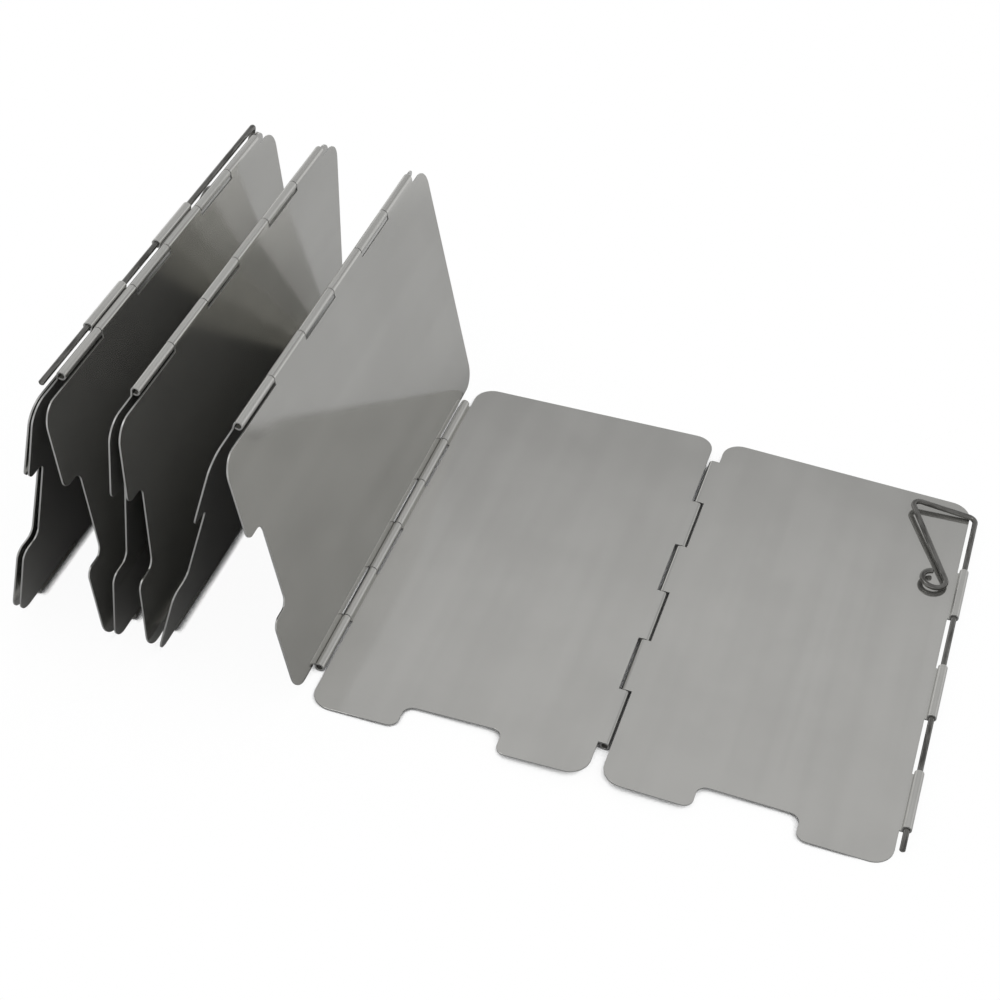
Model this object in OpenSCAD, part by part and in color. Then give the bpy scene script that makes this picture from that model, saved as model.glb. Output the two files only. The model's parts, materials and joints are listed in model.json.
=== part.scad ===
// Folding windscreen for a camp stove. Nine sheet panels carry rolled hinge knuckles on their side edges, a wire
// pin runs through each hinge, and each free edge holds a sliding stake rod with a bent handle. The first two
// panels lie flat, the next six stand as three tents, and the last is folded back against its neighbour.

/* [Panels] */
// Distance along a panel from one hinge axis to the next
panel_pitch = 74.5; // [60:0.5:90]
// Height of a panel from its notched bottom edge to its plain top edge
panel_h = 136.5; // [115:0.5:160]
// Thickness of the sheet
sheet_t = 0.45; // [0.3:0.05:0.6]
// Radius of a panel's corners
corner_r = 5.5; // [2:0.5:8]
// Width of the air notch in a panel's bottom edge
notch_w = 25.2; // [15:0.1:40]
// Depth of the air notch
notch_d = 7.5; // [6:0.1:10]
// Radius of the air notch's corners
notch_r = 2.6; // [0.5:0.1:2.9]

/* [Hinges] */
// Diameter of the wire in the hinge pins and stake rods
wire_d = 1.5; // [1.2:0.05:2]
// Running gap all round a wire inside a knuckle
wire_gap = 0.04; // [0.02:0.01:0.08]
// Distance from a panel's bottom edge up to its lowest knuckle
knuckle_base = 11.75; // [9:0.25:16]
// Distance from a panel's top edge down to its highest knuckle
knuckle_top = 9.5; // [8:0.25:16]
// Gap between neighbouring knuckles along a hinge
knuckle_gap = 0.25; // [0.2:0.05:0.8]
// Gap between a panel's edge and its neighbour's knuckles
edge_gap = 0.46; // [0.3:0.02:0.8]
// Gap left open at the seam of a rolled knuckle
seam_gap = 0.15; // [0.05:0.05:0.3]
// Height of a rolled knuckle over the sheet face that it starts from
roll_proud = 0.02; // [0.01:0.01:0.05]
// Depth of a hinge pin's ends inside the outermost knuckles
pin_recess = 1.5; // [0.3:0.1:3]
// Chamfer on the cut ends of pins and rods
wire_chamfer = 0.25; // [0.1:0.05:0.5]

/* [Stake rods] */
// Height of a rod's tip above the panel's bottom edge
rod_tip = 5.2; // [0:0.1:9]
// Distance from a panel's top edge down to the handle's top run
handle_drop = 5.6; // [3:0.1:8]
// The same distance for the second rod, which is pulled further out of its knuckles
second_drop = 3.6; // [1.2:0.1:8]
// Length of the handle's top run from the rod's axis to its far corner
handle_run = 18.8; // [12:0.1:24]
// Radius of the handle's bends at the middle of the wire
bend_r = 2; // [1.5:0.1:3]
// Swelling of the wire's radius where it is bent
bend_swell = 0.02; // [0.01:0.01:0.05]
// Distance from the handle's top run down to the middle of the eye
eye_drop = 29.8; // [20:0.1:40]
// Distance from the rod's axis to the middle of the eye
eye_out = 7.4; // [6:0.1:9]
// Radius of the eye at the middle of the wire
eye_r = 3.2; // [2.5:0.1:3.5]
// Angle that the wire turns round the eye, in degrees
eye_turn = 285; // [200:5:290]
// Angle at which a handle stands off its panel, in degrees
handle_lift = 4; // [2:0.5:30]

/* [Pose] */
// Floor distance between the feet of the first tent
tent_1 = 40; // [10:0.1:60]
// Floor distance between the feet of the second tent
tent_2 = 11.3; // [10:0.1:60]
// Floor distance between the feet of the third tent
tent_3 = 26.7; // [10:0.1:60]
// Gap between the last panel and its neighbour at the free edge, where they lean together
free_gap = 0.3; // [0.2:0.05:1]

/* [Hidden] */
$fn = 48;
panel_count = 9;

sheet_colour = [0.66, 0.66, 0.64];
wire_colour = [0.34, 0.34, 0.33];

// Knuckle slots are numbered from the bottom of a hinge. A panel's right edge fills the even ones and its left
// edge the odd ones. The last panel's free edge has its top knuckle left off, to bare the rod under its handle.
slot_count = 6;
right_slots = [0, 2, 4];
left_slots = [1, 3, 5];
free_left_slots = [1, 3];

wire_r = wire_d / 2;
bore_r = wire_r + wire_gap;
roll_r = bore_r + sheet_t;
// A knuckle is all but flush with one face of its sheet, so its axis lies off the sheet's middle by this much
axis_offset = roll_r - roll_proud - sheet_t / 2;
axis_span = norm([panel_pitch, 2 * axis_offset]);
edge_cut = roll_r + edge_gap;
slot_pitch = (panel_h - knuckle_base - knuckle_top) / slot_count;
second_rise = handle_drop - second_drop;
// Length by which a cutting shape runs past what it cuts
cut_over = 2;
// Length by which a sheet runs into its knuckle, and a wire's straight run into its bend
weld_over = 0.05;

// Hinge axes as [x, z], from the right free edge to the left one, centred on the floor that the feet stand on
right_x = axis_span + (tent_1 + tent_2 + tent_3) / 2;
foot_0 = [right_x, roll_r];
foot_1 = foot_0 - [axis_span, 0];
foot_2 = foot_1 - [axis_span, 0];
foot_4 = foot_2 - [tent_1, 0];
foot_6 = foot_4 - [tent_2, 0];
foot_8 = foot_6 - [tent_3, 0];
// Angle at the last foot between its two hinge lines: that of parallel sheets, less the lean of the last one
shut_angle = 2 * asin(2 * axis_offset / axis_span);
shut_lean = asin((2 * axis_offset - sheet_t - free_gap) / panel_pitch);
axes = [
    foot_0,
    foot_1,
    foot_2,
    ridge(foot_2, foot_4),
    foot_4,
    ridge(foot_4, foot_6),
    foot_6,
    ridge(foot_6, foot_8),
    foot_8,
    foot_8 + turned(ridge(foot_6, foot_8) - foot_8, shut_angle - shut_lean)
];

function ridge(a, b) = (a + b) / 2 + [0, sqrt(pow(axis_span, 2) - pow(norm(a - b) / 2, 2))];
function turned(v, angle) = [v.x * cos(angle) - v.y * sin(angle), v.x * sin(angle) + v.y * cos(angle)];
function heading(v) = atan2(v.y, v.x);
function along(angle) = [cos(angle), sin(angle)];
// Odd panels have their right axis in front of the sheet and their left axis behind it, even ones the reverse
function front(i) = i % 2 == 1 ? 1 : -1;

// Draws its children in a panel's own frame: x from the left axis to the right one, y up from the bottom edge, z to
// the front, and the sheet's middle at z = 0
module on_panel(i) {
    left = axes[i];
    across = axes[i - 1] - left;
    tilt = heading(across) - heading([panel_pitch, 2 * axis_offset * front(i)]);
    translate([left.x, -panel_h / 2, left.y])
        rotate([0, -tilt, 0])
            translate([0, 0, front(i) * axis_offset])
                children();
}

module rounded_square(size, r) {
    translate([r, 0]) square([size.x - 2 * r, size.y]);
    translate([0, r]) square([size.x, size.y - 2 * r]);
    for (x = [r, size.x - r], y = [r, size.y - r])
        translate([x, y]) circle(r);
}

// Section of a knuckle round the origin, rolled up from a sheet that arrives below it from the left, and open at
// the seam where the roll comes round to the sheet again
module knuckle_section() {
    seam = asin((bore_r - seam_gap) / roll_r);
    reach = 2 * roll_r;
    difference() {
        circle(roll_r);
        polygon([[0, 0], [-reach, -reach * tan(seam)], [-reach, -reach], [0, -reach]]);
    }
}

module panel_section() {
    right_axis = [panel_pitch, axis_offset];
    left_axis = [0, -axis_offset];
    difference() {
        union() {
            translate([-weld_over, -sheet_t / 2]) square([panel_pitch + 2 * weld_over, sheet_t]);
            translate(right_axis) knuckle_section();
            translate(left_axis) rotate(180) knuckle_section();
        }
        translate(right_axis) circle(bore_r);
        translate(left_axis) circle(bore_r);
    }
}

// Cut-out of the air notch, with rounded roof corners and rounded lips at the bottom edge
module notch_outline() {
    translate([-notch_w / 2, 0]) square([notch_w, notch_d - notch_r]);
    translate([-notch_w / 2 + notch_r, 0]) square([notch_w - 2 * notch_r, notch_d]);
    translate([-notch_w / 2 - notch_r, -cut_over]) square([notch_w + 2 * notch_r, cut_over]);
    for (side = [-1, 1]) {
        translate([side * (notch_w / 2 - notch_r), notch_d - notch_r]) circle(notch_r);
        difference() {
            translate([side * (notch_w + notch_r) / 2 - notch_r / 2, 0]) square(notch_r);
            translate([side * (notch_w / 2 + notch_r), notch_r]) circle(notch_r);
        }
    }
}

// Strips across the edge between two values of x, one for each knuckle, from inside the panel to past the roll
module knuckle_tabs(slots, inner_x, outer_x) {
    for (slot = slots)
        translate([min(inner_x, outer_x), knuckle_base + slot * slot_pitch + knuckle_gap / 2])
            square([abs(outer_x - inner_x), slot_pitch - knuckle_gap]);
}

module panel_outline(left) {
    difference() {
        translate([edge_cut, 0]) rounded_square([panel_pitch - 2 * edge_cut, panel_h], corner_r);
        translate([panel_pitch / 2, 0]) notch_outline();
    }
    inner = edge_cut + cut_over;
    outer = -roll_r - cut_over;
    knuckle_tabs(left, inner, outer);
    knuckle_tabs(right_slots, panel_pitch - inner, panel_pitch - outer);
}

// An odd panel: its outline cut through its rolled section
module stamped_panel(left) {
    reach = axis_offset + roll_r + cut_over;
    intersection() {
        translate([0, panel_h + cut_over, 0])
            rotate([90, 0, 0])
                linear_extrude(panel_h + 2 * cut_over) panel_section();
        translate([0, 0, -reach]) linear_extrude(2 * reach) panel_outline(left);
    }
}

// Chamfered end of a wire along z
module wire_foot() {
    cylinder(h = wire_chamfer, r1 = wire_r - wire_chamfer, r2 = wire_r);
}

// Straight wire of a given length along z, chamfered at both ends
module cut_wire(length) {
    wire_foot();
    translate([0, 0, wire_chamfer]) cylinder(h = length - 2 * wire_chamfer, r = wire_r);
    translate([0, 0, length]) rotate([180, 0, 0]) wire_foot();
}

// Straight wire between two points of the xy plane, run a little way into the bends at its ends
module wire_run(a, b) {
    translate(a)
        rotate([0, 90, heading(b - a)])
            translate([0, 0, -weld_over])
                cylinder(h = norm(b - a) + 2 * weld_over, r = wire_r);
}

// Wire bent round a centre in the xy plane, counter-clockwise from a start angle
module wire_bend(centre, r, start, turn) {
    translate(centre)
        rotate(start)
            rotate_extrude(angle = turn) translate([r, 0]) circle(wire_r + bend_swell);
}

// A stake rod with its shank along y through the origin and its handle to the left
module bent_rod() {
    top = panel_h - handle_drop;
    corner = [-handle_run, top];
    eye = [-eye_out, top - eye_drop];
    to_eye = eye - corner;
    slant = heading(to_eye) + asin(eye_r / norm(to_eye));
    slant_end = corner + along(slant) * sqrt(pow(norm(to_eye), 2) - pow(eye_r, 2));
    corner_turn = slant + 180;
    corner_trim = bend_r * tan(corner_turn / 2);
    shank_top = top - bend_r;

    translate([0, rod_tip, 0]) rotate([-90, 0, 0]) {
        wire_foot();
        translate([0, 0, wire_chamfer])
            cylinder(h = shank_top + weld_over - rod_tip - wire_chamfer, r = wire_r);
    }
    wire_bend([-bend_r, shank_top], bend_r, 0, 90);
    wire_run([-bend_r, top], corner + [corner_trim, 0]);
    wire_bend(corner + [corner_trim, -bend_r], bend_r, 90, corner_turn);
    wire_run(corner + along(slant) * corner_trim, slant_end);
    wire_bend(eye, eye_r, slant + 90 - eye_turn, eye_turn);
}

module panel(i) {
    color(sheet_colour)
        on_panel(i)
            mirror([0, 0, front(i) < 0 ? 1 : 0])
                stamped_panel(i == panel_count ? free_left_slots : left_slots);
}

// Pin of the hinge between a panel and the next, drawn in the first one's frame
module hinge_pin(i) {
    color(wire_colour)
        on_panel(i)
            translate([0, knuckle_base + pin_recess, -front(i) * axis_offset])
                rotate([-90, 0, 0])
                    cut_wire(slot_count * slot_pitch - 2 * pin_recess);
}

// The first rod runs in the first panel's right edge, and the second in the last panel's left edge
module stake_rod(i) {
    color(wire_colour)
        if (i == 1)
            on_panel(1) translate([panel_pitch, 0, axis_offset]) rotate([0, handle_lift, 0]) bent_rod();
        else
            on_panel(panel_count)
                translate([0, second_rise, -axis_offset]) rotate([0, 180 + handle_lift, 0]) bent_rod();
}

for (i = [1 : panel_count]) panel(i);
for (i = [1 : panel_count - 1]) hinge_pin(i);
for (i = [1 : 2]) stake_rod(i);
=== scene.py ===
import json
import math
import bmesh
import bpy
from mathutils import Matrix, Vector


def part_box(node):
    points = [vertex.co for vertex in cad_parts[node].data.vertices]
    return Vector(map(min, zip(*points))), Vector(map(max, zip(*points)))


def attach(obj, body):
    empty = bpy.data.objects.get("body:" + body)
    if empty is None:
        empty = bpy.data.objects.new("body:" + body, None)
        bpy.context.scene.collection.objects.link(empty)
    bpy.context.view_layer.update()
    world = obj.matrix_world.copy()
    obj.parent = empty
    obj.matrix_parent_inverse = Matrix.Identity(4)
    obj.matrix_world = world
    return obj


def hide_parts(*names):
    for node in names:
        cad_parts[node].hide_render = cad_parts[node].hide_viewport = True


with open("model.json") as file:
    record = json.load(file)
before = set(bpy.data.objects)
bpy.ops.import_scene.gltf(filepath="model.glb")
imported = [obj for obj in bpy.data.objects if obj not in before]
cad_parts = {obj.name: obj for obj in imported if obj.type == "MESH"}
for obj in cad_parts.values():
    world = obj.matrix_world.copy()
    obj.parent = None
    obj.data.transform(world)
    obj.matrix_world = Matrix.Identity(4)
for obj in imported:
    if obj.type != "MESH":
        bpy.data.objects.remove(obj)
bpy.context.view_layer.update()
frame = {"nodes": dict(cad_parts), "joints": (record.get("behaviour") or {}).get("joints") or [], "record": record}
mm = 0.001
smoothBelow = math.radians(22)  # faces that meet at less than this are shaded as one
joints = {joint["name"]: joint for joint in frame["joints"]}
mounts = {mount["name"]: mount for mount in frame["record"]["mounts"]}
print("frame loaded with", len(frame["nodes"]), "nodes")


class Socket:  # one socket of a node tree, with the sums that finishes are written in
    def __init__(self, graph, socket):
        self.graph = graph
        self.socket = socket

    def out(self, name):
        return Socket(self.graph, self.socket.node.outputs[name])

    def work(self, operation, *values):
        return self.graph.add("ShaderNodeMath", {"operation": operation}, dict(enumerate(values)))

    def __add__(self, other):
        return self.work("ADD", self, other)

    def __radd__(self, other):
        return self.work("ADD", other, self)

    def __sub__(self, other):
        return self.work("SUBTRACT", self, other)

    def __rsub__(self, other):
        return self.work("SUBTRACT", other, self)

    def __mul__(self, other):
        return self.work("MULTIPLY", self, other)

    def __rmul__(self, other):
        return self.work("MULTIPLY", other, self)

    def __abs__(self):
        return self.work("ABSOLUTE", self)

    def top(self, other):
        return self.work("MAXIMUM", self, other)

    def between(self, low, high):  # smooth step from 0 at low to 1 at high
        return self.graph.add(
            "ShaderNodeMapRange", {"interpolation_type": "SMOOTHSTEP"}, {0: self, 1: low, 2: high})


class Graph:  # a node tree that is being written
    def __init__(self, tree):
        self.tree = tree
        tree.nodes.clear()

    def add(self, kind, settings=None, sockets=None, out=0):
        node = self.tree.nodes.new(kind)
        for name, value in (settings or {}).items():
            setattr(node, name, value)
        for name, value in (sockets or {}).items():
            if isinstance(value, Socket):
                self.tree.links.new(value.socket, node.inputs[name])
            else:
                node.inputs[name].default_value = value
        return Socket(self, node.outputs[out]) if node.outputs else node

    def noise(self, vector, scale, detail):
        return self.add("ShaderNodeTexNoise", None, {"Vector": vector, "Scale": scale, "Detail": detail})

    def stretch(self, vector, scale, turn=(0, 0, 0)):
        return self.add("ShaderNodeMapping", None, {"Vector": vector, "Rotation": turn, "Scale": scale})

    def blend(self, factor, first, second):
        return self.add("ShaderNodeMix", {"data_type": "RGBA"}, {0: factor, 6: first, 7: second}, 2)


def newFinish(name):
    material = bpy.data.materials.new(name)
    material.use_nodes = True
    return material, Graph(material.node_tree)


view = {
    "lens": 73.93,
    "sensor": 36.0,
    "place": (0.09848, -0.39292, 0.37275),
    "target": (-0.00725, 0.00044, 0.02),
    "roll": 4.329,  # degrees, right side up
}


def makeCamera():
    data = bpy.data.cameras.new("camera")
    data.lens = view["lens"]
    data.sensor_width = view["sensor"]
    camera = bpy.data.objects.new("camera", data)
    bpy.context.scene.collection.objects.link(camera)
    aim = Vector(view["target"]) - Vector(view["place"])
    roll = Matrix.Rotation(math.radians(view["roll"]), 3, "Z")
    turn = aim.to_track_quat("-Z", "Y").to_matrix() @ roll
    camera.matrix_world = Matrix.Translation(view["place"]) @ turn.to_4x4()
    bpy.context.scene.camera = camera


domeLight = {
    "fillLow": 0.05,  # what lights matt surfaces, from the dome's foot
    "fillHigh": 1.2,  # to its top
    "fillStep": (0.3, 0.8),  # heights between which it changes, as sines
    "foot": 0.80,  # what metal sees of the dome, from its foot
    "low": 0.49,
    "lowStep": (0.24, 0.33),
    "waist": 0.40,
    "waistStep": (0.42, 0.56),
    "crown": 0.56,  # to its top
    "crownStep": (0.60, 0.69),
}


def makeWorld():
    world = bpy.data.worlds.new("studioDome")
    bpy.context.scene.world = world
    world.use_nodes = True
    graph = Graph(world.node_tree)
    path = graph.add("ShaderNodeLightPath")
    eye = path.out("Is Camera Ray")
    seen = eye.top(path.out("Is Glossy Ray")).top(path.out("Is Transmission Ray"))
    way = graph.add("ShaderNodeTexCoord").out("Generated")
    up = graph.add("ShaderNodeSeparateXYZ", None, {0: way}, 2)
    dome = domeLight["foot"]
    for below, above in (("foot", "low"), ("low", "waist"), ("waist", "crown")):
        dome = dome + (domeLight[above] - domeLight[below]) * up.between(*domeLight[above + "Step"])
    rise = domeLight["fillHigh"] - domeLight["fillLow"]
    soft = domeLight["fillLow"] + rise * up.between(*domeLight["fillStep"])
    white = graph.add("ShaderNodeBackground", None, {"Strength": eye + (1 - eye) * dome})
    fill = graph.add("ShaderNodeBackground", None, {"Strength": soft})
    for shader in (white, fill):
        shader.socket.node.inputs["Color"].default_value = (1, 1, 1, 1)
    mixed = graph.add("ShaderNodeMixShader", None, {0: seen, 1: fill, 2: white})
    graph.add("ShaderNodeOutputWorld", None, {"Surface": mixed})


softKey = {
    "place": (-0.9, -0.3, 1.5),
    "size": 0.9,
    "power": 3.0,
}


def makeKey():
    data = bpy.data.lights.new("softKey", "AREA")
    data.shape = "DISK"
    data.size = softKey["size"]
    data.energy = softKey["power"]
    key = bpy.data.objects.new("softKey", data)
    bpy.context.scene.collection.objects.link(key)
    place = Vector(softKey["place"])
    turn = (-place).to_track_quat("-Z", "Y").to_matrix()
    key.matrix_world = Matrix.Translation(place) @ turn.to_4x4()


paleFloor = {
    "size": 6.0,
    "drop": 0.02 * mm,  # below the lowest knuckles
    # painted shade: the floor that metal sees is darker around the object and darker still under the tents
    "tone": (0.55, 0.55, 0.55, 1),  # what metal sees of it around the object
    "farTone": (0.90, 0.90, 0.90, 1),
    "near": 0.19,
    "far": 0.30,
    "paintedTentShade": (0.20, 0.20, 0.20, 1),  # and under the tents
    "cover": 60 * mm,  # how high a tent is looked for
    "coverRays": 2,
    "coverStep": (0.2, 0.7),
    "shade": 0.05,  # soft shadow under the tents
    "contacts": {0.7: 5 * mm, -0.7: 2 * mm},  # lean and reach of the look for hinges, to either side
    "contactRays": 4,
    "contactStep": (0.36, 0.5),
    "contactShade": 0.92,  # dark line at the hinges
    "roofed": 0.18,  # how much more of that line there is under the tents
    "roofStep": (0.15, 0.4),
    "bareEdge": (100 * mm, 106 * mm),  # from here to the right there is no such line
    "shadeTone": (0.05, 0.05, 0.05, 1),
}


# The camera sees the white world through the floor, less the shadows on it,
# so that no pose hides a panel that is below it.
def makeFloor():
    mesh = bpy.data.meshes.new("floor")
    half = paleFloor["size"] / 2
    corners = [(x * half, y * half, -paleFloor["drop"]) for x, y in ((-1, -1), (1, -1), (1, 1), (-1, 1))]
    mesh.from_pydata(corners, [], [(0, 1, 2, 3)])
    floor = bpy.data.objects.new("floor", mesh)
    bpy.context.scene.collection.objects.link(floor)
    material, graph = newFinish("paleFloor")
    sides = []
    for lean, reach in paleFloor["contacts"].items():
        slope = graph.add("ShaderNodeCombineXYZ", None, {0: lean, 2: abs(lean)})
        side = graph.add(
            "ShaderNodeAmbientOcclusion", {"samples": paleFloor["contactRays"]},
            {"Distance": reach, "Normal": slope})
        sides.append(side.out("AO"))
    roof = graph.add(
        "ShaderNodeAmbientOcclusion", {"samples": paleFloor["coverRays"]}, {"Distance": paleFloor["cover"]})
    roof = roof.out("AO")
    contact = sides[0].work("MINIMUM", *sides)
    contact = contact - paleFloor["roofed"] * (1 - roof.between(*paleFloor["roofStep"]))
    contact = contact.between(*paleFloor["contactStep"])
    spot = graph.add("ShaderNodeTexCoord").out("Object")
    across = graph.add("ShaderNodeSeparateXYZ", None, {0: spot})
    contact = contact.top(across.between(*paleFloor["bareEdge"]))
    # Painted shade for reflections: the floor's colour darkens near the object and, through the ambient occlusion,
    # under the tents.
    away = graph.add("ShaderNodeVectorMath", {"operation": "LENGTH"}, {0: spot}, "Value")
    away = away.between(paleFloor["near"], paleFloor["far"])
    colour = graph.blend(away, paleFloor["tone"], paleFloor["farTone"])
    colour = graph.blend(roof.between(*paleFloor["coverStep"]), paleFloor["paintedTentShade"], colour)
    matt = graph.add("ShaderNodeBsdfDiffuse", None, {"Color": colour})
    clear = graph.add("ShaderNodeBsdfTransparent")
    # Painted shadow: a dark diffuse that the camera sees where ambient occlusion finds the object close, at the
    # hinges and under the tents.
    shadowShader = graph.add("ShaderNodeBsdfDiffuse", None, {"Color": paleFloor["shadeTone"]})
    shadow = paleFloor["shade"] * (1 - roof) + paleFloor["contactShade"] * (1 - contact)
    shown = graph.add("ShaderNodeMixShader", None, {0: shadow, 1: clear, 2: shadowShader})
    eye = graph.add("ShaderNodeLightPath").out("Is Camera Ray")
    above = graph.add("ShaderNodeMixShader", None, {0: eye, 1: matt, 2: shown})
    below = graph.add("ShaderNodeNewGeometry").out("Backfacing")
    mixed = graph.add("ShaderNodeMixShader", None, {0: below, 1: above, 2: clear})
    graph.add("ShaderNodeOutputMaterial", None, {"Surface": mixed})
    mesh.materials.append(material)


makeCamera()
makeWorld()
makeKey()
makeFloor()
print("camera, light and floor made")

sheetLook = {
    "tone": (0.600, 0.596, 0.574, 1),
    "pale": (0.645, 0.641, 0.618, 1),
    "sheared": (0.50, 0.50, 0.49, 1),
    "metallic": 0.90,
    "rough": 0.10,
    "rolledRough": 0.30,
    "shearedRough": 0.36,
    "streakScale": (2200, 30, 2200),  # noise per metre, stretched along the panel's height
    "bandScale": (160, 5, 160),
    "mottleScale": 42.0,
    "waveScale": 16.0,
    "slantScale": (90, 7, 90),  # two sets of hair scratches
    "slantTurn": (0, 0, 0.35),
    "crossScale": (8, 80, 8),
    "crossTurn": (0, 0, -0.5),
    "streakHeight": 0.0002,  # relief in mm
    "waveHeight": 0.03,
    "scratchHeight": 0.0008,
}


# Rolled aluminium: streaks along the panel's height, slow mottling, hair scratches,
# duller sheared edges and knuckles.
def makeSheetFinish():
    look = sheetLook
    material, graph = newFinish("satinSheet")
    grain = graph.add("ShaderNodeAttribute", {"attribute_name": "grain"}, None, "Vector")
    sheared = graph.add("ShaderNodeAttribute", {"attribute_name": "sheared"}, None, "Fac")
    rolled = graph.add("ShaderNodeAttribute", {"attribute_name": "rolled"}, None, "Fac")
    streaks = graph.noise(graph.stretch(grain, look["streakScale"]), 1.0, 3.0)
    bands = graph.noise(graph.stretch(grain, look["bandScale"]), 1.0, 2.0)
    mottle = graph.noise(grain, look["mottleScale"], 4.0)
    waves = graph.noise(grain, look["waveScale"], 1.0)
    slant = graph.noise(graph.stretch(grain, look["slantScale"], look["slantTurn"]), 1.0, 0.0)
    cross = graph.noise(graph.stretch(grain, look["crossScale"], look["crossTurn"]), 1.0, 0.0)
    slantLines = 1 - abs(slant - 0.5).between(0.001, 0.003)  # a line where the noise crosses a level
    crossLines = 1 - abs(cross - 0.47).between(0.0008, 0.0024)
    scratch = slantLines.top(crossLines) * mottle.between(0.54, 0.66)
    tint = (0.45 * bands + 0.55 * mottle).between(0.35, 0.65)
    colour = graph.blend(tint, look["tone"], look["pale"])
    colour = graph.blend(sheared, colour, look["sheared"])
    rough = look["rough"] + 0.05 * (streaks - 0.5) + 0.06 * (mottle - 0.5) + 0.05 * scratch
    rough = rough + (look["rolledRough"] - look["rough"]) * rolled
    rough = rough + (look["shearedRough"] - look["rough"]) * sheared
    height = look["streakHeight"] * streaks + look["waveHeight"] * waves - look["scratchHeight"] * scratch
    normal = graph.add("ShaderNodeBump", None, {"Height": height, "Distance": mm, "Strength": 1.0})
    shader = graph.add("ShaderNodeBsdfPrincipled", None, {
        "Base Color": colour, "Roughness": rough, "Metallic": look["metallic"], "Normal": normal})
    graph.add("ShaderNodeOutputMaterial", None, {"Surface": shader})
    return material


wireLook = {
    "tone": (0.23, 0.227, 0.217, 1),
    "oxide": (0.10, 0.098, 0.093, 1),
    "metallic": 1.0,
    "rough": 0.2,
    "dieScale": (5000, 45),  # noise per metre, around the wire and along it
    "oxideScale": (900, 160),
    "oxideStep": (0.42, 0.68),
    "relief": 0.004,  # in mm
}


# Drawn steel wire: die lines along its length, oxide patches between them.
def makeWireFinish():
    material, graph = newFinish("drawnWire")
    ring = graph.add("ShaderNodeAttribute", {"attribute_name": "ring"}, None, "Vector")
    along = graph.add("ShaderNodeAttribute", {"attribute_name": "along"}, None, "Fac")
    parts = graph.add("ShaderNodeSeparateXYZ", None, {0: ring})
    spots = []
    for around, length in (wireLook["dieScale"], wireLook["oxideScale"]):
        spots.append(graph.add("ShaderNodeCombineXYZ", None, {
            0: around * parts.out("X"), 1: around * parts.out("Y"), 2: length * along}))
    lines = graph.noise(spots[0], 1.0, 3.0)
    oxide = graph.noise(spots[1], 1.0, 4.0).between(*wireLook["oxideStep"])
    colour = graph.blend(oxide, wireLook["tone"], wireLook["oxide"])
    rough = wireLook["rough"] + 0.14 * (lines - 0.5) + 0.12 * oxide
    height = wireLook["relief"] * lines + wireLook["relief"] * oxide
    normal = graph.add("ShaderNodeBump", None, {"Height": height, "Distance": mm, "Strength": 1.0})
    shader = graph.add("ShaderNodeBsdfPrincipled", None, {
        "Base Color": colour, "Roughness": rough, "Metallic": wireLook["metallic"], "Normal": normal})
    graph.add("ShaderNodeOutputMaterial", None, {"Surface": shader})
    return material


sheetFinish = makeSheetFinish()
wireFinish = makeWireFinish()
print("finishes made")


def geometryTree(name, inputs):
    tree = bpy.data.node_groups.new(name, "GeometryNodeTree")
    graph = Graph(tree)
    tree.interface.new_socket("Geometry", in_out="INPUT", socket_type="NodeSocketGeometry")
    tree.interface.new_socket("Geometry", in_out="OUTPUT", socket_type="NodeSocketGeometry")
    for label, kind in inputs.items():
        tree.interface.new_socket(label, in_out="INPUT", socket_type=kind)
    return graph, graph.add("NodeGroupInput")


# A curve through points of the xy plane; each point's radius holds the fillet of its corner.
def drawCurve(name, points, closed):
    curve = bpy.data.curves.new(name, "CURVE")
    curve.dimensions = "3D"
    spline = curve.splines.new("POLY")
    spline.points.add(len(points) - 1)
    for spot, (place, fillet) in zip(spline.points, points):
        spot.co = (*place, 0, 1)
        spot.radius = fillet
    spline.use_cyclic_u = closed
    carrier = bpy.data.objects.new(name, curve)
    bpy.context.scene.collection.objects.link(carrier)
    return carrier


def grow(carrier, graph, values):  # runs a tree on a curve and gives the plain mesh
    modifier = carrier.modifiers.new(graph.tree.name, "NODES")
    modifier.node_group = graph.tree
    for item in graph.tree.interface.items_tree:
        if item.in_out == "INPUT" and item.name in values:
            modifier[item.identifier] = values[item.name]
    evaluated = carrier.evaluated_get(bpy.context.evaluated_depsgraph_get())
    mesh = bpy.data.meshes.new_from_object(evaluated)
    carrier.modifiers.remove(modifier)
    return mesh


panelBuild = {
    "sheet": 0.45 * mm,
    "rollMiddle": 0.995 * mm,  # radius of a knuckle at the middle of its sheet
    "edgeCut": 1.64 * mm,  # from a hinge axis to the edge of the flat sheet
    "corner": 5.5 * mm,
    "notchWidth": 25.2 * mm,
    "notchDepth": 7.5 * mm,
    "notchCorner": 2.6 * mm,
    "knuckleBase": 11.75 * mm,
    "knuckleTop": 9.5 * mm,
    "knuckleGap": 0.25 * mm,
    "seamAngle": 35,  # degrees past level at which a roll ends
    "arcStep": 7,
    "filletPoints": 10,
    "deburr": 0.06 * mm,
    "weld": 0.002 * mm,  # points closer than this are one
    "flat": 0.5,  # degrees, faces that meet at less are one
    "sharp": 40,  # degrees, edges with more are deburred
    "sectionLength": 1.02,  # length of the rolled section before it is cut, in panel heights
    "sectionTop": 1.01,
    "rightSlots": (0, 2, 4),
    "leftSlots": (1, 3, 5),
    "lastLeftSlots": (1, 3),
}
spots = [joints[f"hinge_{k}"]["pos_m"] for k in range(1, 9)]
spots = [mounts["stake_tip_1"]["pos_m"], *spots, mounts["stake_tip_2"]["pos_m"]]
axes = [Vector((x, z)) for x, _, z in spots]
panelLow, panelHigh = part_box("panel_1")
panelHeight = panelHigh[1] - panelLow[1]
offset = panelBuild["rollMiddle"]
panelPitch = math.sqrt((axes[0] - axes[1]).length_squared - 4 * offset ** 2)
knuckleStep = (panelHeight - panelBuild["knuckleBase"] - panelBuild["knuckleTop"]) / 6


def panelFront(i):  # odd panels have their right axis in front of the sheet
    return 1 if i % 2 else -1


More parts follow.
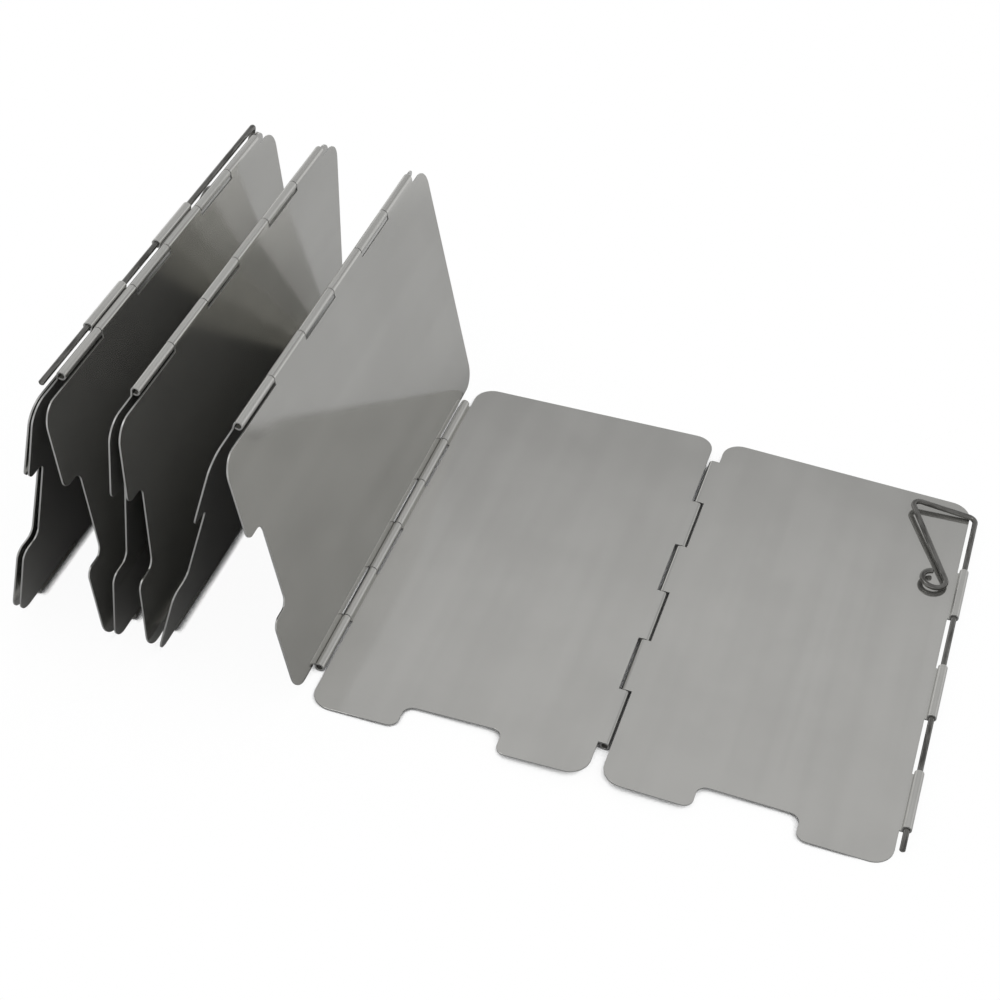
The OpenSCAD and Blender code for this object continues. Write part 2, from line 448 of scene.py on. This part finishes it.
def panelPlace(i):  # from a panel's own frame, x across and y up, to the object's
    left = axes[i]
    across = axes[i - 1] - left
    tilt = math.atan2(across.y, across.x) - math.atan2(2 * offset * panelFront(i), panelPitch)
    place = Matrix.Translation((left.x, panelLow[1], left.y))
    return place @ Matrix.Rotation(-tilt, 4, "Y") @ Matrix.Translation((0, 0, panelFront(i) * offset))


def arc(centre, radius, start, turn, step):
    count = max(2, round(abs(turn) / step))
    spots = [math.radians(start + turn * k / count) for k in range(count + 1)]
    return [(centre[0] + radius * math.cos(a), centre[1] + radius * math.sin(a)) for a in spots]


# Section of the whole sheet with a roll at each side edge, as one closed line.
def sectionLine():
    half = panelBuild["sheet"] / 2
    turn = 270 + panelBuild["seamAngle"]
    line = []
    for centre, start in (((panelPitch, offset), -90), ((0, -offset), 90)):
        line += arc(centre, offset + half, start, turn, panelBuild["arcStep"])
        line += arc(centre, offset - half, start + turn, -turn, panelBuild["arcStep"])
    return [(spot, 0) for spot in line]


def slotEnds(slot):
    low = panelBuild["knuckleBase"] + slot * knuckleStep + panelBuild["knuckleGap"] / 2
    return low, low + knuckleStep - panelBuild["knuckleGap"]


# Outline of the flat blank: notch at the bottom, tongues for the knuckles at both sides.
def outlineLine(leftSlots):
    build = panelBuild
    left, right = build["edgeCut"], panelPitch - build["edgeCut"]
    reach = 2.5 * offset
    line = [((left, 0), build["corner"])]
    for side, y in ((-1, 0), (-1, build["notchDepth"]), (1, build["notchDepth"]), (1, 0)):
        line.append((((panelPitch + side * build["notchWidth"]) / 2, y), build["notchCorner"]))
    line.append(((right, 0), build["corner"]))
    for slot in build["rightSlots"]:
        low, high = slotEnds(slot)
        outer = panelPitch + reach
        line += [((x, y), 0) for x, y in ((right, low), (outer, low), (outer, high), (right, high))]
    line += [((right, panelHeight), build["corner"]), ((left, panelHeight), build["corner"])]
    for slot in reversed(leftSlots):
        low, high = slotEnds(slot)
        line += [((x, y), 0) for x, y in ((left, high), (-reach, high), (-reach, low), (left, low))]
    return line


def slab(graph, line, depth):  # a closed line of the xy plane, filled and given depth along z
    face = graph.add("GeometryNodeFillCurve", {"mode": "NGONS"}, {"Curve": line})
    walls = graph.add("GeometryNodeExtrudeMesh", {"mode": "FACES"}, {
        "Mesh": face, "Offset Scale": depth, "Individual": False})
    under = graph.add("GeometryNodeFlipFaces", None, {"Mesh": face})
    both = graph.add("GeometryNodeJoinGeometry")
    for part in (walls, under):
        graph.tree.links.new(part.socket, both.socket.node.inputs[0])
    return graph.add("GeometryNodeMergeByDistance", None, {"Geometry": both, "Distance": 0.001 * mm})


# The blank's outline is cut through the rolled section, as the real panel is stamped and then rolled.
def makePanelTree():
    graph, given = geometryTree("stampedPanel", {
        "Section": "NodeSocketObject", "Height": "NodeSocketFloat", "Reach": "NodeSocketFloat",
        "Fillet points": "NodeSocketInt", "Material": "NodeSocketMaterial"})
    fillet = graph.add("GeometryNodeFilletCurve", {"mode": "POLY"}, {
        "Curve": given.out("Geometry"), "Count": given.out("Fillet points"),
        "Radius": graph.add("GeometryNodeInputRadius"), "Limit Radius": True})
    reach = given.out("Reach")
    blank = slab(graph, fillet, 2 * reach)
    blank = graph.add("GeometryNodeTransform", None, {
        "Geometry": blank, "Translation": graph.add("ShaderNodeCombineXYZ", None, {2: 0 - reach})})
    section = graph.add("GeometryNodeObjectInfo", None, {"Object": given.out("Section")}, "Geometry")
    rolled = slab(graph, section, given.out("Height") * panelBuild["sectionLength"])
    top = given.out("Height") * panelBuild["sectionTop"]
    rolled = graph.add("GeometryNodeTransform", None, {
        "Geometry": rolled, "Rotation": (math.pi / 2, 0, 0),
        "Translation": graph.add("ShaderNodeCombineXYZ", None, {1: top})})
    cut = graph.add("GeometryNodeMeshBoolean", {"operation": "INTERSECT", "solver": "EXACT"})
    for part in (blank, rolled):
        graph.tree.links.new(part.socket, cut.socket.node.inputs["Mesh 2"])
    real = graph.add("GeometryNodeRealizeInstances", None, {0: cut})
    dressed = graph.add(
        "GeometryNodeSetMaterial", None, {"Geometry": real, "Material": given.out("Material")})
    graph.add("NodeGroupOutput", None, {0: dressed})
    return graph


def shadeSmooth(work):
    for face in work.faces:
        face.smooth = True
    for edge in work.edges:
        edge.smooth = edge.is_manifold and edge.calc_face_angle() < smoothBelow


# Deburrs a panel's sharp edges, marks its sheared faces and notes each point's place on the flat sheet.
def finishPanel(mesh, i):
    work = bmesh.new()
    work.from_mesh(mesh)
    bmesh.ops.remove_doubles(work, verts=work.verts, dist=panelBuild["weld"])
    flat = math.radians(panelBuild["flat"])
    bmesh.ops.dissolve_limit(work, angle_limit=flat, verts=work.verts, edges=work.edges)
    bmesh.ops.recalc_face_normals(work, faces=work.faces)
    sheared = work.faces.layers.float.new("sheared")
    sides = (panelBuild["edgeCut"], panelPitch - panelBuild["edgeCut"])
    for face in work.faces:
        middle = face.calc_center_median()
        atSide = abs(face.normal.x) > 0.9 and min(abs(middle.x - side) for side in sides) < 0.1 * mm
        face[sheared] = 1.0 if abs(face.normal.y) > 0.3 or atSide else 0.0
    sharp = math.radians(panelBuild["sharp"])
    burrs = [edge for edge in work.edges if edge.is_manifold and edge.calc_face_angle() > sharp]
    bmesh.ops.bevel(
        work, geom=burrs, offset=panelBuild["deburr"], offset_type="OFFSET", segments=2, profile=0.5,
        affect="EDGES", clamp_overlap=True)
    grain = work.verts.layers.float_vector.new("grain")
    rolled = work.verts.layers.float.new("rolled")
    shift = Vector((0.31 * i, 0.17 * i, 0.07 * i))
    for vert in work.verts:
        vert[grain] = vert.co + shift
        vert[rolled] = 1.0 if abs(vert.co.z) > 0.6 * panelBuild["sheet"] else 0.0
    turn = panelPlace(i)
    if panelFront(i) < 0:
        turn = turn @ Matrix.Diagonal((1, 1, -1, 1))
    bmesh.ops.transform(work, matrix=turn, verts=work.verts)
    bmesh.ops.recalc_face_normals(work, faces=work.faces)
    shadeSmooth(work)
    finished = bpy.data.meshes.new(f"panelSheet_{i}")
    work.to_mesh(finished)
    work.free()
    finished.materials.append(sheetFinish)
    return finished


def makePanels():
    graph = makePanelTree()
    section = drawCurve("rolledSection", sectionLine(), True)
    stamped = {}
    for slots in (panelBuild["leftSlots"], panelBuild["lastLeftSlots"]):
        outline = drawCurve("panelOutline", outlineLine(slots), True)
        stamped[slots] = grow(outline, graph, {
            "Section": section, "Height": panelHeight, "Reach": 4 * offset,
            "Fillet points": panelBuild["filletPoints"], "Material": sheetFinish})
        bpy.data.objects.remove(outline)
    bpy.data.objects.remove(section)
    for i in range(1, 10):
        slots = panelBuild["lastLeftSlots"] if i == 9 else panelBuild["leftSlots"]
        mesh = finishPanel(stamped[slots], i)
        piece = bpy.data.objects.new(f"panelSheet_{i}", mesh)
        bpy.context.scene.collection.objects.link(piece)
        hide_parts(f"panel_{i}")
        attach(piece, f"leaf_{i}")


makePanels()
print("panels stamped and finished")

wireBuild = {
    "radius": 0.75 * mm,
    "chamfer": 0.25 * mm,
    "sides": 24,
    "bend": 2.0 * mm,
    "bendPoints": 8,
    "handleRun": 18.8 * mm,
    "eyeDrop": 29.8 * mm,
    "eyeOut": 7.4 * mm,
    "eyeRadius": 3.2 * mm,
    "eyeTurn": 285,
    "eyeStep": 8,
    "handleLift": 4,  # degrees off the sheet
}


# Wire along a line whose corners are bent to the fillet at each point, with chamfered ends.
def makeWireTree():
    graph, given = geometryTree("drawnWire", {
        "Radius": "NodeSocketFloat", "Chamfer": "NodeSocketFloat", "Sides": "NodeSocketInt",
        "Bend points": "NodeSocketInt", "Material": "NodeSocketMaterial"})
    bent = graph.add("GeometryNodeFilletCurve", {"mode": "POLY"}, {
        "Curve": given.out("Geometry"), "Count": given.out("Bend points"),
        "Radius": graph.add("GeometryNodeInputRadius"), "Limit Radius": True})
    length = graph.add("GeometryNodeSplineParameter").out("Length")
    path = graph.add("GeometryNodeStoreNamedAttribute", {"data_type": "FLOAT", "domain": "POINT"}, {
        "Geometry": bent, "Name": "along", "Value": length})
    path = graph.add("GeometryNodeSetCurveRadius", None, {"Curve": path, "Radius": 1.0})
    circle = graph.add("GeometryNodeCurvePrimitiveCircle", {"mode": "RADIUS"}, {
        "Resolution": given.out("Sides"), "Radius": given.out("Radius")})
    spot = graph.add("GeometryNodeInputPosition")
    ring = graph.add("GeometryNodeStoreNamedAttribute", {"data_type": "FLOAT_VECTOR", "domain": "POINT"}, {
        "Geometry": circle, "Name": "ring", "Value": spot})
    ends = graph.add("GeometryNodeCurveEndpointSelection", None, {"Start Size": 1, "End Size": 1})
    taper = 1 - ends.work("DIVIDE", ends * given.out("Chamfer"), given.out("Radius"))
    swept = graph.add("GeometryNodeCurveToMesh", None, {
        "Curve": path, "Profile Curve": ring, "Scale": taper, "Fill Caps": True})
    real = graph.add("GeometryNodeRealizeInstances", None, {0: swept})
    dressed = graph.add(
        "GeometryNodeSetMaterial", None, {"Geometry": real, "Material": given.out("Material")})
    graph.add("NodeGroupOutput", None, {0: dressed})
    return graph


# Line of a stake rod in its own frame: shank up the y axis, handle to the left.
def rodLine(tip, top):
    build = wireBuild
    corner = Vector((-build["handleRun"], top))
    eye = Vector((-build["eyeOut"], top - build["eyeDrop"]))
    toEye = eye - corner
    slant = math.atan2(toEye.y, toEye.x) + math.asin(build["eyeRadius"] / toEye.length)
    start = math.degrees(slant) + 90
    loop = arc(eye, build["eyeRadius"], start, -build["eyeTurn"], build["eyeStep"])
    last = Vector(loop[-1])
    nearLast = last + (Vector(loop[-2]) - last).normalized() * build["chamfer"]
    line = [((0, tip), 0), ((0, tip + build["chamfer"]), 0)]
    line += [((0, top), build["bend"]), (tuple(corner), build["bend"])]
    return line + [(spot, 0) for spot in (*loop[:-1], tuple(nearLast), tuple(last))]


def addWire(name, node, body, line, place):
    carrier = drawCurve(name, line, False)
    mesh = grow(carrier, wireTree, {
        "Radius": wireBuild["radius"], "Chamfer": wireBuild["chamfer"], "Sides": wireBuild["sides"],
        "Bend points": wireBuild["bendPoints"], "Material": wireFinish})
    bpy.data.objects.remove(carrier)
    work = bmesh.new()
    work.from_mesh(mesh)
    bmesh.ops.transform(work, matrix=place, verts=work.verts)
    bmesh.ops.recalc_face_normals(work, faces=work.faces)
    shadeSmooth(work)
    work.to_mesh(mesh)
    work.free()
    mesh.name = name
    piece = bpy.data.objects.new(name, mesh)
    bpy.context.scene.collection.objects.link(piece)
    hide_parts(node)
    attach(piece, body)


def makeWires():
    lift = math.radians(wireBuild["handleLift"])
    rightEdge = panelPlace(1) @ Matrix.Translation((panelPitch, 0, offset))
    leftEdge = panelPlace(9) @ Matrix.Translation((0, 0, -offset))
    places = {
        1: rightEdge @ Matrix.Rotation(lift, 4, "Y"),
        2: leftEdge @ Matrix.Rotation(math.pi + lift, 4, "Y"),
    }
    for i, place in places.items():
        low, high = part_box(f"stake_rod_{i}")
        line = rodLine(low[1] - panelLow[1], high[1] - panelLow[1] - wireBuild["radius"])
        addWire(f"stakeWire_{i}", f"stake_rod_{i}", f"stake_{i}", line, place)
    for i in range(1, 9):
        low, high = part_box(f"hinge_pin_{i}")
        chamfer, length = wireBuild["chamfer"], high[1] - low[1]
        line = [((0, y), 0) for y in (0, chamfer, length - chamfer, length)]
        place = Matrix.Translation((axes[i].x, low[1], axes[i].y))
        addWire(f"pinWire_{i}", f"hinge_pin_{i}", f"leaf_{i}", line, place)


wireTree = makeWireTree()
makeWires()
print("rods and pins drawn")

bpy.context.scene.view_settings.view_transform = "Standard"
